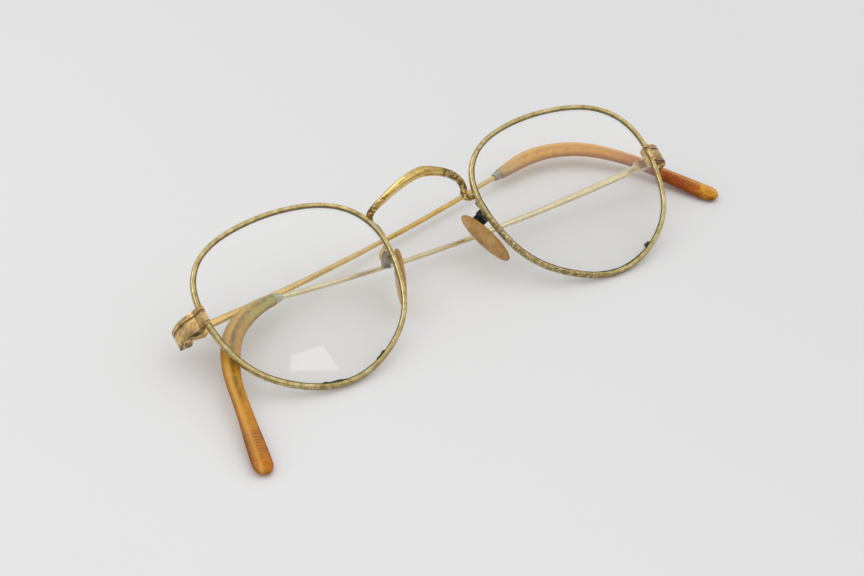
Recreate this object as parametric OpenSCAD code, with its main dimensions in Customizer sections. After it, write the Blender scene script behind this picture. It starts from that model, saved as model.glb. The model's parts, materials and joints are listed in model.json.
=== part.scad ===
// Antique wire spectacles with hinged temples, folded and laid down on a table.
// Sides are named as seen from the front. Each half is first drawn upright, on the
// right: x outwards from the nose, y towards the top, z towards the front.

/* [Lenses and rims] */
// Distance between the two lens centres
lens_spacing = 64.3; // [62:0.1:66]
// Mean radius of the eye shape, to the middle of the rim wire
eye_r = 20.24; // [19.8:0.02:20.6]
// How much wider than tall the eye shape is, as a change of radius
eye_widen = 0.76; // [0.4:0.02:1]
// How far the eye shape leans over
eye_lean = -0.16; // [-0.3:0.02:0.3]
// How far its upper corners and its bottom stand out
eye_corners = 0.89; // [0.4:0.01:1.1]
// How far it turns from round towards a diamond, or below 0 towards a square
eye_square = -0.34; // [-0.5:0.02:0.2]
// How far its six sides are flattened
eye_flats = -0.18; // [-0.3:0.02:0.1]
// Width of the rim wire, seen from the front
rim_w = 1; // [0.9:0.02:1.2]
// Depth of the rim wire, front to back
rim_t = 1.5; // [1.3:0.05:1.8]
// Width of the mouth of the lens groove
groove_w = 0.9; // [0.8:0.05:1]
// Thickness of a lens at its edge
lens_t = 1; // [0.8:0.05:1.2]
// Radius of the lens curve
lens_curve_r = 140; // [80:5:300]

/* [Bridge] */
// Height of the bridge's crest above the lens centres
crest_y = 12.4; // [11.5:0.05:13.5]
// How far the crest stands in front of the rims
crest_z = 5.4; // [4:0.1:6]
// Width of the bridge wire at its crest
bridge_w = 2.2; // [1.6:0.05:2.4]
// Width of the bridge wire at its feet
bridge_foot_w = 1.45; // [1.1:0.05:1.6]

/* [End pieces] */
// Height of the right end piece above the lens centre
right_end_y = 1.7; // [1.5:0.05:3]
// Height of the left end piece above the lens centre
left_end_y = 2.65; // [1.5:0.05:3]
// Distance of the right side wall's outer face from the middle of the rim wire
right_end_out = 5.7; // [4.6:0.05:5.9]
// Distance of the left side wall's outer face from the middle of the rim wire
left_end_out = 4.75; // [4.6:0.05:5.9]
// Height of an end piece over both its halves
end_h = 4.1; // [3.8:0.05:4.4]
// Height of the upper half
end_cap_h = 1.05; // [0.9:0.05:1.3]
// Gap between the halves
end_gap = 0.05; // [0.03:0.01:0.1]
// Thickness of the end piece's wall
end_t = 1.5; // [1.3:0.05:1.7]
// Outer radius of its turn from the front to the side
turn_r = 6; // [5.8:0.05:6.2]
// How far the side wall reaches behind the rims
end_back = 7.4; // [7.1:0.05:8]
// Radius of the closing screw's shank
screw_r = 0.5; // [0.4:0.05:0.6]
// Radius of the closing screw's head
screw_head_r = 0.85; // [0.75:0.05:0.9]

/* [Hinges] */
// Radius of the hinge knuckles
knuckle_r = 0.95; // [0.9:0.01:1]
// Radius of the hinge pin
hinge_pin_r = 0.4; // [0.35:0.01:0.45]
// Distance of the hinge pin behind the rims
hinge_back = 5.9; // [5.7:0.05:6]
// Radial play of the pins in their holes
pin_play = 0.03; // [0.02:0.01:0.06]
// Gap above and below the temple's knuckle
knuckle_gap = 0.05; // [0.03:0.01:0.1]

/* [Right temple] */
// Angle between the folded right temple and the lenses
right_fold = 8.6; // [8:0.1:12]
// How far the right temple rises towards its tip
right_rise = 2.6; // [1.5:0.1:4]
// How far the right hook is twisted out of upright
right_roll = 21.3; // [18:0.1:24]
// Length of the right bar, from the hinge to the hook
right_bar = 90.3; // [86:0.1:92]
// Radius of the right bar's bow
right_bow = 339; // [250:1:900]
// Straight length at the end of the right hook
right_end = 21.1; // [16:0.1:24]
// Where the right celluloid tip begins, measured along the temple
right_mouth = 92.3; // [89:0.1:94]

/* [Left temple] */
// Angle between the folded left temple and the lenses
left_fold = 13.3; // [12:0.1:18]
// How far the left temple rises towards its tip
left_rise = -7.9; // [-9:0.1:-6]
// How far the left hook is twisted out of upright
left_roll = 23.8; // [20:0.1:26]
// Length of the left bar, from the hinge to the hook
left_bar = 92.6; // [88:0.1:94]
// Radius of the left bar's bow
left_bow = 449; // [250:1:900]
// Straight length at the end of the left hook
left_end = 17.7; // [15:0.1:22]
// Where the left celluloid tip begins, measured along the temple
left_mouth = 87.4; // [85:0.1:90]

/* [Both temples] */
// Radius of the hook behind the ear
hook_r = 18.65; // [17:0.05:22]
// Angle of the hook
hook_angle = 59.5; // [54:0.1:68]
// Radius where the hook eases out
ease_r = 36.5; // [30:0.5:42]
// Angle over which it eases out
ease_angle = 18; // [8:0.1:20]
// Height of the bar at the hinge
bar_h = 1.65; // [1.4:0.05:2]
// Thickness of the bar at the hinge
bar_t = 1.15; // [1:0.05:1.4]
// Diameter of the bar where it has become a round wire
wire_d = 1.05; // [0.9:0.05:1.2]
// Length over which the flat bar becomes a round wire
bar_taper = 48; // [30:1:60]
// Length of the wire core inside a tip
core_len = 33; // [20:1:36]
// Width of a tip at its mouth
tip_mouth_w = 2.5; // [2.3:0.05:2.7]
// Width of a tip in its hook and at its rounded end
tip_w = 4; // [3.4:0.05:4.2]
// Width of its waist, between the two
tip_waist_w = 3.1; // [2.9:0.05:3.3]
// Thickness of a tip
tip_t = 2.1; // [2:0.05:2.3]
// Length of a ferrule
ferrule_len = 1.7; // [1.2:0.1:2.4]

/* [Nose pads] */
// Height of the middle of a pad above the lens centres
pad_y = -2.3; // [-3:0.1:-2]
// Distance of the middle of a pad from the middle of the nose
pad_x = 10.7; // [10.5:0.1:11.2]
// Distance of the middle of a pad behind the rims
pad_back = 3.8; // [3.7:0.05:4.2]
// Lean of the pads away from upright
pad_lean = 21; // [18:0.5:24]
// Length of a pad
pad_len = 13.2; // [12:0.1:14]
// Width of a pad
pad_w = 5.6; // [5:0.1:5.6]
// Thickness of a pad
pad_t = 1.5; // [1.2:0.05:1.6]
// Radius of a pad's pin
pad_pin_r = 0.33; // [0.28:0.01:0.36]

/* [Wear and rest] */
// How far the left half has been bent down
left_drop = 1.6; // [0:0.1:1.8]
// How far the left half has been twisted back at its top
left_twist = 3.5; // [0:0.1:3.6]
// Lean of the lens plane, back from upright, seen as an angle from flat
tilt = 31.34; // [30:0.02:32]

/* [Finish] */
// Colour of the gold-filled metal
gold = "#b39b5f"; // ["#b39b5f", "#c9a84c", "#9c8a5a"]
// Colour of the paler temple wires
pale_gold = "#c2b07c"; // ["#c2b07c", "#cbb573", "#b0a070"]
// Colour of the celluloid tips
amber = "#c07a2c"; // ["#c07a2c", "#a85f22", "#d39a4a"]
// Colour of the nose pads
tan_pad = "#c39a66"; // ["#c39a66", "#b88a55", "#d9bd92"]
// Colour of the lenses
glass = [0.85, 0.92, 0.9, 0.35];

/* [Hidden] */

// Degrees in a radian, and the fineness of round exact parts
DEG = 180 / PI;
$fn = 48;

// Middle of the resting spectacles, seen from above, from the middle of the bridge
middle = [3.49, -3.81];

// The eye shape
lens_x = lens_spacing / 2;
rim_x = lens_x + eye_radius(0);
rim_steps = 90;
lens_steps = 60;
lens_play = 0.08;
groove_x = -0.06;

// Each side: the height of its end piece, and how far its side wall stands outside the rim
HIGH = 0;
OUT = 1;
right_side = [right_end_y, right_end_out];
left_side = [left_end_y, left_end_out];

// Heights and places of the end piece of a side
function end_low(e) = e[HIGH] - end_h / 2;
function end_top(e) = e[HIGH] + end_h / 2;
function split_y(e) = end_top(e) - end_cap_h;
function outer_x(e) = rim_x + e[OUT];
function wall_x(e) = outer_x(e) - end_t;
end_front = -0.1;
turn_z = end_front - turn_r;
block_back = 3.8;
screw_at = [rim_x + 1.9, -2.45];
screw_head_h = 0.5;
recess_h = 0.65;
lobe_drop = 0.3;

// The hinge of a side: the middle of its pin, and the heights that the temple's knuckle fills
function hinge(e) = [wall_x(e) - 0.1, e[HIGH], -hinge_back];
function hinge_plan(e) = [hinge(e).x, hinge(e).z];
function knuckle_low(e) = end_low(e) + 1.3;
function knuckle_high(e) = split_y(e) - end_gap - knuckle_gap;
joint_from = 1.6;
joint_to = 4.8;
joint_h = 2.1;
joint_t = 1.9;
neck_t = 0.85;

// The temples: bar length, bow radius, length after the hook, start of the tip, and angles
BAR = 0;
BOW = 1;
END = 2;
MOUTH = 3;
FOLD = 4;
RISE = 5;
ROLL = 6;
right_shape = [right_bar, right_bow, right_end, right_mouth, right_fold, right_rise, right_roll];
left_shape = [left_bar, left_bow, left_end, left_mouth, left_fold, left_rise, left_roll];
hook_len = hook_r * hook_angle / DEG;
ease_len = ease_r * ease_angle / DEG;
bar_from = 3.6;
wire_step = 3;
core_step = 2;
core_end_scale = 0.55;
core_play = 0.1;
dome_len = 2.4;

// The nose pads, in their own place: x outwards, y along the pad, z to the front
pad_at = [pad_x, pad_y, -pad_back];
pin_at = [pad_t / 2 + 1.65, 3.5, 0.75];
ear_r = 0.72;
ear_h = 1.4;
box_len = 2.7;
box_wall = 0.35;
box_h = ear_h + 0.2 + 2 * box_wall;
box_x = [pin_at.x - 0.7, pin_at.x + 1.15];

// Radius of the eye shape at an angle from the temple side
function eye_radius(a) = eye_r + eye_widen * cos(2 * a) + eye_lean * sin(2 * a)
    + eye_corners * sin(3 * a) + eye_square * cos(4 * a) + eye_flats * cos(6 * a);

// A point of the eye shape, moved outwards by grow and shrunk towards the middle
function eye_point(a, grow, z, shrink = 1) = let (r = (eye_radius(a) + grow) * shrink)
    [lens_x + r * cos(a), r * sin(a), z];

// A right-hand point as it lies on the left, dropped and twisted
function left_point(p) = [
    -p.x,
    p.y * cos(left_twist) + p.z * sin(left_twist) - left_drop,
    -p.y * sin(left_twist) + p.z * cos(left_twist)
];

// Height of an upright point once the spectacles lean back, before they are lifted
function leaned_height(p) = p.y * sin(tilt) + p.z * cos(tilt);

function mix(a, b, f) = a + (b - a) * f;
function clamp01(f) = max(0, min(1, f));
function unit(v) = v / norm(v);
function backwards(list) = [for (i = [len(list) - 1 : -1 : 0]) list[i]];
function soft_power(v, p) = sign(v) * pow(abs(v), p);

// An oval outline of n points; square below 1 makes it boxier
function oval(w, h, n, square = 1) = [for (i = [0 : n - 1]) let (a = 360 * (i + 0.5) / n)
    [w / 2 * soft_power(cos(a), square), h / 2 * soft_power(sin(a), square)]];

function turned(outline, a) = [for (q = outline)
    [q.x * cos(a) - q.y * sin(a), q.x * sin(a) + q.y * cos(a)]];

// A closed skin over a row of rings that all have the same number of points
module skin(rings) {
    n = len(rings[0]);
    last = len(rings) - 1;
    sides = [for (k = [0 : last - 1], j = [0 : n - 1]) let (i = (j + 1) % n)
        each [[k * n + j, (k + 1) * n + j, (k + 1) * n + i], [k * n + j, (k + 1) * n + i, k * n + i]]];
    start = [for (j = [0 : n - 1]) j];
    end = [for (j = [n - 1 : -1 : 0]) last * n + j];
    polyhedron([for (ring = rings) each ring], concat(sides, [start, end]));
}

// Outline of the rim wire, as distances outwards and forwards, with its lens groove
function rim_outline() = concat(
    [for (a = [90 : -30 : -90]) [rim_w / 2 * cos(a), rim_t / 2 * sin(a)]],
    [[-rim_w / 2, -groove_w / 2], [groove_x, 0], [-rim_w / 2, groove_w / 2]]
);

// The rim's rings run once round, from just above the split of its side to just below it
half_gap_angle = asin(end_gap / 2 / eye_r);
function split_angle(e) = asin((split_y(e) - end_gap / 2) / eye_radius(9));
function rim_rings(e) = [for (i = [0 : rim_steps])
    let (a = split_angle(e) + mix(half_gap_angle, 360 - half_gap_angle, i / rim_steps))
    [for (q = rim_outline()) eye_point(a, q.x, q.y)]];

// Lift that sets the lowest rim on the table
lowest_right = min([for (ring = rim_rings(right_side), p = ring) leaned_height(p)]);
lowest_left = min([for (ring = rim_rings(left_side), p = ring) leaned_height(left_point(p))]);
lift = -min(lowest_right, lowest_left);

module on_table() translate([-middle.x, -middle.y, lift]) rotate([tilt, 0, 0]) children();

module right_half() on_table() children();

module left_half() on_table()
    translate([-lens_x, -left_drop, 0]) rotate([-left_twist, 0, 0])
    translate([lens_x, 0, 0]) mirror([1, 0, 0]) children();

module rim(e) color(gold) skin(rim_rings(e));

// Rise of the lens curve above its edge, at a share f of its radius
function lens_rise(f) = sqrt(pow(lens_curve_r, 2) - pow(f * eye_r, 2))
    - sqrt(pow(lens_curve_r, 2) - pow(eye_r, 2));

function lens_ring(grow, z, shrink = 1) = [for (i = [0 : lens_steps - 1])
    eye_point(360 * i / lens_steps, grow, z, shrink)];

// The lens: its back from the middle out, the bevelled edge, then its front inwards
module lens() {
    shares = [0.12, 0.35, 0.6, 0.82];
    edge = groove_x - lens_play;
    shoulder = edge - lens_t * (rim_w / 2 + groove_x) / groove_w;
    back = [for (f = shares) lens_ring(shoulder, lens_rise(f) - lens_t / 2, f)];
    front = [for (f = shares) lens_ring(shoulder, lens_rise(f) + lens_t / 2, f)];
    bevel = [lens_ring(shoulder, -lens_t / 2), lens_ring(edge, 0), lens_ring(shoulder, lens_t / 2)];
    color(glass) skin(concat(back, bevel, backwards(front)));
}

// Each side of the bridge: its foot, the point that bends its leg, and the pull of its crest.
// The left leg was spread when the left half was bent.
right_leg = [[10.3, 7.45, -2.2], [11.5, 12, 1.5], 0.6];
left_leg = [[10.4, 9.05, -2.7], [14.6, 12.85, -1], 6.15];
crest = [0, crest_y, crest_z];
bridge_steps = 14;
stub_w = 0.8;

function bezier(p, f) = pow(1 - f, 3) * p[0] + 3 * f * pow(1 - f, 2) * p[1]
    + 3 * f * f * (1 - f) * p[2] + pow(f, 3) * p[3];

// One side of the bridge: a stub from the rim to its foot, then the leg up to the crest
rim_joint = eye_point(165, 0.42, -0.45);
function half_bridge(leg) = concat(
    [rim_joint, mix(rim_joint, leg[0], 0.55) + [-0.1, -0.25, -0.2]],
    [for (i = [0 : bridge_steps])
        bezier([leg[0], leg[1], [leg[2], crest_y, crest_z], crest], i / bridge_steps)]
);

function mirrored(p) = [-p.x, p.y, p.z];

// On the left the foot follows the bent rim, and the crest stays where it is
function settled(p) = let (f = clamp01(1 - p.x / left_leg[0].x))
    mix(left_point(p), mirrored(p), f * f * (3 - 2 * f));

module bridge() {
    right = half_bridge(right_leg);
    left = half_bridge(left_leg);
    path = concat(right, [for (i = [len(left) - 2 : -1 : 0]) settled(left[i])]);
    last = len(path) - 1;
    share = function (p) clamp01(1 - abs(p.x) / right_leg[0].x);
    width = function (i) i == 0 || i == last ? stub_w : mix(bridge_foot_w, bridge_w, share(path[i]));
    ring = function (i) let (
        p = path[i],
        along = unit(path[min(i + 1, last)] - path[max(i - 1, 0)]),
        side = unit(cross([0, 1, 0.35], along)),
        up = cross(along, side)
    ) [for (q = oval(width(i), width(i), 12)) p + q.x * side + q.y * up];
    color(gold) on_table() skin([for (i = [0 : last]) ring(i)]);
}

// A flat shape drawn in plan, x outwards and y to the front, made solid between two heights
module plan(low, high) translate([0, high, 0]) rotate([90, 0, 0]) linear_extrude(high - low) children();

// An upright round bar or hole
module post(at, r, low, high)
    translate([at[0], high, at[1]]) rotate([90, 0, 0]) cylinder(r = r, h = high - low);

// Plan of the lip with which an end piece laps over the front of the rim
module lip_plan() {
    inner = rim_x - rim_w / 2;
    over = rim_t / 2 + 0.25;
    polygon([
        [inner, rim_t / 2 - 0.1], [inner, over], [rim_x + rim_w / 2, over], [rim_x + 1.3, 0.35],
        [rim_x + 1.9, -0.6], [rim_x + 0.45, -0.6], [rim_x + 0.45, 0.35], [rim_x + 0.2, rim_t / 2 - 0.1]
    ]);
}

// Plan of an end piece: a solid block at the rim that turns into the side wall
module end_plan(e) {
    inboard = rim_x + 0.09;
    far = 2 * turn_r;
    difference() {
        union() {
            translate([outer_x(e) - turn_r, turn_z]) circle(r = turn_r);
            translate([wall_x(e), -end_back]) square([end_t, end_back + turn_z]);
        }
        translate([inboard - far, turn_z - far]) square([far, 2 * far]);
        translate([inboard - far, -end_back - far]) square([2 * far, far]);
        translate([inboard - 1, -end_back - 1]) square([wall_x(e) - inboard + 1, end_back + 1 - block_back]);
    }
}

// Plan of a front knuckle: a long lobe that is joined to the side wall
module knuckle_plan(e) {
    pin = hinge_plan(e);
    front = pin + [0.3, 1.6];
    into_wall = 0.5;
    translate(pin) circle(r = knuckle_r);
    translate(front) circle(r = knuckle_r);
    polygon([
        pin - [knuckle_r, 0], pin - [0, knuckle_r], pin + [into_wall, -knuckle_r],
        front + [into_wall, knuckle_r / 2], front, front - [knuckle_r, 0]
    ]);
}

module end_lower(e) color(gold) difference() {
    union() {
        plan(end_low(e), split_y(e) - end_gap) end_plan(e);
        plan(end_low(e), split_y(e) - end_gap) lip_plan();
        plan(end_low(e) - lobe_drop, knuckle_low(e) - knuckle_gap) knuckle_plan(e);
    }
    post(hinge_plan(e), knuckle_r + 0.1, knuckle_low(e) - knuckle_gap, split_y(e));
    post(hinge_plan(e), hinge_pin_r + pin_play, end_low(e) - 1, split_y(e));
    post(screw_at, screw_r + pin_play, end_low(e) - 1, split_y(e));
    post(screw_at, screw_head_r + 0.07, end_low(e) - 1, end_low(e) + recess_h);
}

module end_upper(e) color(gold) difference() {
    union() {
        plan(split_y(e), end_top(e)) end_plan(e);
        plan(split_y(e), end_top(e)) lip_plan();
        plan(split_y(e), end_top(e)) knuckle_plan(e);
    }
    post(hinge_plan(e), hinge_pin_r + pin_play, split_y(e) - 1, end_top(e) + 1);
    post(screw_at, screw_r + pin_play, split_y(e) - 1, end_top(e) + 1);
}

module closing_screw(e) {
    head_top = end_low(e) + recess_h;
    slot_w = 0.25;
    slot_h = 0.22;
    color(gold) difference() {
        union() {
            post(screw_at, screw_head_r, head_top - screw_head_h, head_top);
            post(screw_at, screw_r, head_top, end_top(e) - 0.1);
        }
        translate([screw_at[0] - 2, head_top - screw_head_h - 1, screw_at[1] - slot_w / 2])
            cube([4, 1 + slot_h, slot_w]);
    }
}

module hinge_pin(e) color(gold)
    post(hinge_plan(e), hinge_pin_r, end_low(e) - lobe_drop - 0.05, end_top(e) + 0.1);

module at_hinge(t, e) translate(hinge(e)) rotate([0, -t[FOLD], 0]) children();

// The piece that carries the temple's knuckle, drawn from the pin towards -x. Its neck lies
// on the inner side of the pin, clear of the side wall when the temple is open.
module temple_joint(t, e) {
    low = knuckle_low(e) - e[HIGH];
    high = knuckle_high(e) - e[HIGH];
    color(gold) at_hinge(t, e) difference() {
        union() {
            translate([-joint_to, -joint_h / 2, -joint_t / 2])
                cube([joint_to - joint_from, joint_h, joint_t]);
            translate([-joint_from - 0.2, low, 0]) cube([joint_from + 0.2, high - low, neck_t]);
            post([0, 0], knuckle_r, low, high);
        }
        post([0, 0], hinge_pin_r + pin_play, low - 1, high + 1);
    }
}

// Bow angle and hook angle of a temple at a length s from its hinge
function bow_at(t, s) = min(s, t[BAR]) / t[BOW] * DEG;
function hook_at(e) = e <= 0 ? 0
    : e < hook_len ? e / hook_r * DEG
    : min(hook_angle + (e - hook_len) / ease_r * DEG, hook_angle + ease_angle);

// Way along and down after a length e past the start of the hook
function hook_way(e) = let (
    a = hook_at(e),
    one = hook_r * [sin(min(a, hook_angle)), 1 - cos(min(a, hook_angle))],
    two = a > hook_angle ? ease_r * [sin(a) - sin(hook_angle), cos(hook_angle) - cos(a)] : [0, 0],
    rest = max(0, e - hook_len - ease_len) * [cos(a), sin(a)]
) e <= 0 ? [0, 0] : one + two + rest;

function temple_len(t) = t[BAR] + hook_len + ease_len + t[END];

function temple_point(t, s) = let (b = bow_at(t, s), way = hook_way(s - t[BAR])) [
    -(t[BOW] * sin(b) + way.x * cos(b)),
    -way.y,
    t[BOW] * (1 - cos(b)) + way.x * sin(b)
];

// A ring round the temple; the outline's x is across the hook, to its inside, y to its face
function temple_ring(t, s, outline) = let (
    b = bow_at(t, s),
    a = hook_at(s - t[BAR]),
    inside = [sin(a) * cos(b), -cos(a), -sin(a) * sin(b)],
    face = [sin(b), 0, cos(b)],
    p = temple_point(t, s)
) [for (q = outline) p + q.x * inside + q.y * face];

module along_temple(t, e) at_hinge(t, e) rotate([0, 0, t[RISE]]) rotate([-t[ROLL], 0, 0]) children();

// Outline of the bar: boxy and upright at the hinge, then a round wire, thinner in the tip
function bar_outline(t, s) = let (
    f = clamp01(s / bar_taper),
    core = mix(1, core_end_scale, clamp01((s - t[MOUTH]) / core_len)),
    outline = oval(mix(bar_h, wire_d, f) * core, mix(bar_t, wire_d, f) * core, 12, mix(0.6, 1, f))
) turned(outline, -t[ROLL] * (1 - f));

function core_stations(t) = [for (s = [t[MOUTH] : core_step : t[MOUTH] + core_len]) s];

module temple_bar(t, e) {
    stations = concat([for (s = [bar_from : wire_step : t[MOUTH] - 1]) s], core_stations(t));
    color(pale_gold) along_temple(t, e) skin([for (s = stations) temple_ring(t, s, bar_outline(t, s))]);
}

// A short tapered collar that closes the mouth of the tip
module ferrule(t, e) {
    s = t[MOUTH] - 0.03;
    bore_r = wire_d / 2 + 0.05;
    color(pale_gold) along_temple(t, e) translate(temple_point(t, s))
        rotate([0, bow_at(t, s), 0]) rotate([0, 0, hook_at(s - t[BAR])]) rotate([0, 90, 0])
        rotate_extrude() polygon([
            [bore_r, 0], [tip_t / 2 - 0.02, 0], [tip_t / 2 - 0.12, ferrule_len * 0.6],
            [bore_r + 0.2, ferrule_len], [bore_r, ferrule_len]
        ]);
}

// Outline of a tip at length s: it swells from the mouth, and has a waist before its end
function tip_outline(t, s, close) = let (
    f = (s - t[MOUTH]) / (temple_len(t) - t[MOUTH]),
    swell = mix(tip_mouth_w, tip_w, sin(90 * clamp01(f / 0.2))),
    waist = sin(180 * clamp01((f - 0.3) / 0.65)),
    w = swell - (tip_w - tip_waist_w) * waist * waist
) oval(w * close, tip_t * close, 14, 0.92);

// The tip: the hole for the core, from its blind end to the mouth, then the outside
module tip(t, e) {
    straight = 28;
    reach = temple_len(t) - dome_len - t[MOUTH];
    hole = [for (s = core_stations(t)) let (
        core = mix(1, core_end_scale, (s - t[MOUTH]) / core_len),
        d = wire_d * core + 2 * core_play
    ) temple_ring(t, s, oval(d, d, 14))];
    outside = [for (i = [0 : straight]) let (s = t[MOUTH] + reach * i / straight)
        temple_ring(t, s, tip_outline(t, s, 1))];
    dome = [for (a = [25, 48, 68, 82]) let (s = temple_len(t) - dome_len * (1 - sin(a)))
        temple_ring(t, s, tip_outline(t, s, cos(a)))];
    color(amber) along_temple(t, e) skin(concat(backwards(hole), outside, dome));
}

module at_pad() translate(pad_at) rotate([0, 0, pad_lean]) children();

// The pad: a flat face towards the nose and rounded edges
module nose_pad() {
    layers = [[-0.5, 0.82], [-0.42, 0.94], [-0.2, 1], [0.15, 1], [0.38, 0.93], [0.5, 0.76]];
    color(tan_pad) at_pad() skin([for (layer = layers)
        [for (q = oval(pad_len * layer[1], pad_w * layer[1], 32)) [layer[0] * pad_t, q.x, q.y]]]);
}

// The ear in the back of the pad, with the hole that it rocks on
module pad_mount() {
    neck_w = 1;
    foot_w = 2.4;
    foot_t = 0.3;
    back = pad_t / 2;
    color(gold) at_pad() difference() {
        union() {
            translate([back - foot_t, pin_at.y - foot_w / 2, pin_at.z - 0.7]) cube([foot_t, foot_w, 1.4]);
            translate([back - foot_t, pin_at.y - neck_w / 2, pin_at.z - ear_h / 2])
                cube([pin_at.x - back + foot_t, neck_w, ear_h]);
            translate([pin_at.x, pin_at.y, pin_at.z - ear_h / 2]) cylinder(r = ear_r, h = ear_h);
        }
        translate([pin_at.x, pin_at.y, pin_at.z - ear_h]) cylinder(r = pad_pin_r + pin_play, h = 2 * ear_h);
    }
}

// The box: two cheeks above and below the ear, and the wall that the arm is soldered to
module pad_box() color(gold) at_pad() difference() {
    translate([box_x[0], pin_at.y - box_len / 2, pin_at.z - box_h / 2])
        cube([box_x[1] - box_x[0], box_len, box_h]);
    translate([box_x[0] - 1, pin_at.y - box_len, pin_at.z - box_h / 2 + box_wall])
        cube([box_x[1] - box_x[0] + 1 - box_wall, 2 * box_len, box_h - 2 * box_wall]);
    translate([pin_at.x, pin_at.y, pin_at.z - box_h]) cylinder(r = pad_pin_r + pin_play, h = 2 * box_h);
}

module pad_pin() color(gold) at_pad()
    translate([pin_at.x, pin_at.y, pin_at.z - box_h / 2 - 0.05]) cylinder(r = pad_pin_r, h = box_h + 0.1);

// The arm: a strap that leaves the back of the rim and turns down to the back of the box
module pad_arm() {
    root = eye_point(169, 0.05, -rim_t / 2 + 0.25);
    box_back = [
        pad_x + (box_x[1] - 0.1) * cos(pad_lean) - pin_at.y * sin(pad_lean),
        pad_y + (box_x[1] - 0.1) * sin(pad_lean) + pin_at.y * cos(pad_lean),
        -pad_back + pin_at.z
    ];
    bend = [root, root + [0.1, 0, -1.5], box_back + [0.9, 1, 0.4], box_back];
    steps = 12;
    ring = function (f) let (
        p = bezier(bend, f),
        along = unit(bezier(bend, f + 0.01) - bezier(bend, f - 0.01)),
        side = unit(cross(along, [1, 0.3, 0])),
        out = cross(side, along),
        w = mix(1.5, 1.1, f)
    ) [for (q = oval(w, 0.6, 10, 0.8)) p + q.x * side - q.y * out];
    color(gold) skin([for (i = [0 : steps]) ring(i / steps)]);
}

bridge();
right_half() rim(right_side);  // right_rim
right_half() lens();  // right_lens
right_half() end_lower(right_side);  // right_end_lower
right_half() end_upper(right_side);  // right_end_upper
right_half() closing_screw(right_side);  // right_closing_screw
right_half() hinge_pin(right_side);  // right_hinge_pin
right_half() temple_joint(right_shape, right_side);  // right_temple_joint
right_half() temple_bar(right_shape, right_side);  // right_temple_bar
right_half() ferrule(right_shape, right_side);  // right_ferrule
right_half() tip(right_shape, right_side);  // right_tip
right_half() pad_arm();  // right_pad_arm
right_half() pad_box();  // right_pad_box
right_half() pad_pin();  // right_pad_pin
right_half() pad_mount();  // right_pad_mount
right_half() nose_pad();  // right_nose_pad
left_half() rim(left_side);  // left_rim
left_half() lens();  // left_lens
left_half() end_lower(left_side);  // left_end_lower
left_half() end_upper(left_side);  // left_end_upper
left_half() closing_screw(left_side);  // left_closing_screw
left_half() hinge_pin(left_side);  // left_hinge_pin
left_half() temple_joint(left_shape, left_side);  // left_temple_joint
left_half() temple_bar(left_shape, left_side);  // left_temple_bar
left_half() ferrule(left_shape, left_side);  // left_ferrule
left_half() tip(left_shape, left_side);  // left_tip
left_half() pad_arm();  // left_pad_arm
left_half() pad_box();  // left_pad_box
left_half() pad_pin();  // left_pad_pin
left_half() pad_mount();  // left_pad_mount
left_half() nose_pad();  // left_nose_pad
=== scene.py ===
import json
import math

import bmesh
import bpy
import numpy as np
from mathutils import Matrix, Vector

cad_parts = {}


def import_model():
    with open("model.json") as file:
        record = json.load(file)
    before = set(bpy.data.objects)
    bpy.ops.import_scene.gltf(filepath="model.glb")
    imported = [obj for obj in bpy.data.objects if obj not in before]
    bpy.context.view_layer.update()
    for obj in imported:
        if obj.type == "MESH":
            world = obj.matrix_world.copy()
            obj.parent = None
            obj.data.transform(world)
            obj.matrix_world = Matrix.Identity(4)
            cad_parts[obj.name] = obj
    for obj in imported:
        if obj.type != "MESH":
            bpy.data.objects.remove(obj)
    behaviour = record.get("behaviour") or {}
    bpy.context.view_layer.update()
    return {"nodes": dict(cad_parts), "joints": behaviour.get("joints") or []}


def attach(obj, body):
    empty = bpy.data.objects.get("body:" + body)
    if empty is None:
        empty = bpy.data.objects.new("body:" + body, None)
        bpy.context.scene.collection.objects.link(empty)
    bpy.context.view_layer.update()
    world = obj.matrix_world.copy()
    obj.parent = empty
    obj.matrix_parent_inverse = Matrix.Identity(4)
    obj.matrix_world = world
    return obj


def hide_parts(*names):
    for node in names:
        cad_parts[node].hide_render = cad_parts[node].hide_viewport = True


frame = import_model()
nodes = frame["nodes"]

# Antique wire spectacles, folded. Sizes are in millimetres until a mesh is made, and
# follow the part's source. Each half is first drawn upright, on the right: x outwards
# from the nose, y towards the top, z towards the front.
MM = 0.001

# Lenses and rims. The opening is a circle of radius EYE_R with five waves round its edge.
LENS_X = 64.3 / 2
EYE_R = 20.24
EYE_WIDEN = 0.76
EYE_LEAN = -0.16
EYE_CORNERS = 0.89
EYE_SQUARE = -0.34
EYE_FLATS = -0.18
RIM_W = 1.0
RIM_T = 1.5
GROOVE_W = 0.9
GROOVE_X = -0.06
LENS_T = 1.0
LENS_CURVE_R = 140.0
LENS_PLAY = 0.08
MILL_PITCH = 0.62
MILL_DEPTH = 0.06
MILL_HALF_H = 0.45

# Bridge
CREST = np.array([0, 12.4, 5.4])
BRIDGE_W = 2.2
BRIDGE_FOOT_W = 1.45
STUB_W = 0.8
STUB_LEN = 1.4
# Where a stub leaves the rim: angle, distance outside the lens opening, and height
STUB_ROOT = (math.radians(165), 0.42, -0.45)
# Each leg: its foot, its bend, and the x of the curve's handle beside the crest
RIGHT_LEG = ([10.3, 7.45, -2.2], [11.5, 12.0, 1.5], 0.6)
LEFT_LEG = ([10.4, 9.05, -2.7], [14.6, 12.85, -1.0], 6.15)

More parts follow.
